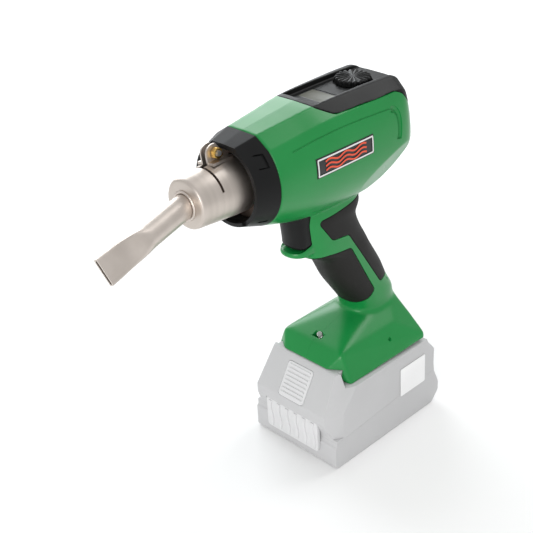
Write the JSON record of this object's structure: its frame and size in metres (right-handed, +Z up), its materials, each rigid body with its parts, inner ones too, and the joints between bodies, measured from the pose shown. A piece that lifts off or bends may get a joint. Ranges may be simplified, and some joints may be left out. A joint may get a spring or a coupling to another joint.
{
  "type": "cordless heat gun",
  "caption": "Cordless hot-air gun: faceted barrel, clamped slot nozzle, turn-and-press dial, trigger, rubber grips and a slide-on battery pack with a release button.",
  "frame": {"origin": "centre of the battery pack's width, on the pack's flat underside", "axes": "+Z up out of the underside, -Y along the nozzle, +X towards the tool's own left side"},
  "size_m": [0.0863, 0.2873, 0.2854],
  "materials": {
    "green_housing_plastic": "satin",
    "black_housing_plastic": "fine texture",
    "grip_rubber": "fine texture",
    "satin_steel": "satin",
    "brass": "machined",
    "screw_steel": "plated",
    "heat_tinted_steel": "oxidised",
    "mica": "dull",
    "ceramic": "unglazed",
    "heater_wire": "oxidised",
    "circuit_board": "lacquered",
    "display_window": "polished",
    "dark_inner_plastic": "moulded",
    "pale_inner_plastic": "moulded",
    "copper": "plated",
    "filter_mesh": "mesh",
    "pack_grey_plastic": "moulded",
    "pack_pale_plastic": "moulded",
    "cell_sleeve": "shrink film",
    "label_dark": "printed",
    "label_white": "printed",
    "lamp_lens": "clear"
  },
  "bodies": {
    "tool": {"housing_left": "green_housing_plastic", "housing_right": "green_housing_plastic", "grip_rear": "grip_rubber", "grip_front": "grip_rubber", "top_cover": "black_housing_plastic", "display_lens": "display_window", "display_module": "dark_inner_plastic", "control_board": "circuit_board", "encoder_body": "dark_inner_plastic", "label_plate_left": "label_dark", "label_plate_right": "label_dark", "front_collar": "black_housing_plastic", "heat_shield_ring": "heat_tinted_steel", "heater_tube": "heat_tinted_steel", "mica_sleeve": "mica", "heater_core": "ceramic", "heater_coil": "heater_wire", "thermocouple": "screw_steel", "fan_housing": "dark_inner_plastic", "motor_can": "screw_steel", "motor_mount": "grip_rubber", "intake_filter_left": "filter_mesh", "intake_filter_right": "filter_mesh", "trigger_switch": "dark_inner_plastic", "trigger_spring": "screw_steel", "power_board": "circuit_board", "contact_block": "dark_inner_plastic", "contact_blade_plus": "copper", "contact_blade_minus": "copper", "contact_blade_data": "copper", "work_light_lens": "lamp_lens", "work_light_led": "pale_inner_plastic", "housing_screw_1": "screw_steel", "housing_screw_2": "screw_steel", "housing_screw_3": "screw_steel", "housing_screw_4": "screw_steel", "housing_screw_5": "screw_steel", "housing_screw_6": "screw_steel"},
    "nozzle": {"nozzle_sleeve": "satin_steel", "nozzle_tube": "satin_steel", "clamp_nut": "brass"},
    "clamp_screw": {"clamp_screw": "screw_steel"},
    "fan": {"impeller": "dark_inner_plastic", "motor_shaft": "screw_steel"},
    "dial_plunger": {"encoder_plunger": "screw_steel"},
    "dial": {"temperature_dial": "black_housing_plastic"},
    "trigger": {"trigger": "black_housing_plastic", "trigger_plunger": "pale_inner_plastic"},
    "battery": {"battery_case_lower": "pack_grey_plastic", "battery_case_upper": "pack_grey_plastic", "battery_front_panel": "pack_pale_plastic", "battery_cells_lower": "cell_sleeve", "battery_cells_upper": "cell_sleeve", "battery_board": "circuit_board", "battery_terminals": "pale_inner_plastic", "battery_label": "label_white", "latch_spring": "screw_steel"},
    "battery_button": {"battery_button": "pack_pale_plastic"}
  },
  "joints": [
    {"name": "trigger_slide", "type": "slide", "parent": "tool", "child": "trigger", "axis": [0, 1, 0], "range_m": [0, 0.005], "stiffness_N_per_m": 600, "springref_m": -0.003, "deforming": ["trigger_spring"]},
    {"name": "dial_press", "type": "slide", "parent": "tool", "child": "dial_plunger", "axis": [0, 0, -1], "range_m": [0, 0.001], "stiffness_N_per_m": 1200, "springref_m": -0.001},
    {"name": "dial_turn", "type": "hinge", "parent": "dial_plunger", "child": "dial", "pos_m": [0, 0.014, 0.2803], "axis": [0, 0, 1], "continuous": true},
    {"name": "nozzle_turn", "type": "hinge", "parent": "tool", "child": "nozzle", "pos_m": [0, -0.1468, 0.246], "axis": [0, 1, 0], "continuous": true},
    {"name": "clamp_screw_turn", "type": "hinge", "parent": "nozzle", "child": "clamp_screw", "pos_m": [-0.00439, -0.1175, 0.27092], "axis": [0.9848, 0, 0.1736], "continuous": true},
    {"name": "fan_spin", "type": "hinge", "parent": "tool", "child": "fan", "pos_m": [0, -0.003, 0.246], "axis": [0, 1, 0], "continuous": true},
    {"name": "battery_slide", "type": "slide", "parent": "tool", "child": "battery", "axis": [0, -1, 0], "range_m": [0, 0.095]},
    {"name": "button_press", "type": "slide", "parent": "battery", "child": "battery_button", "axis": [0, 0.856, -0.517], "range_m": [0, 0.0028], "stiffness_N_per_m": 1000, "springref_m": -0.002, "deforming": ["latch_spring"]}
  ]
}
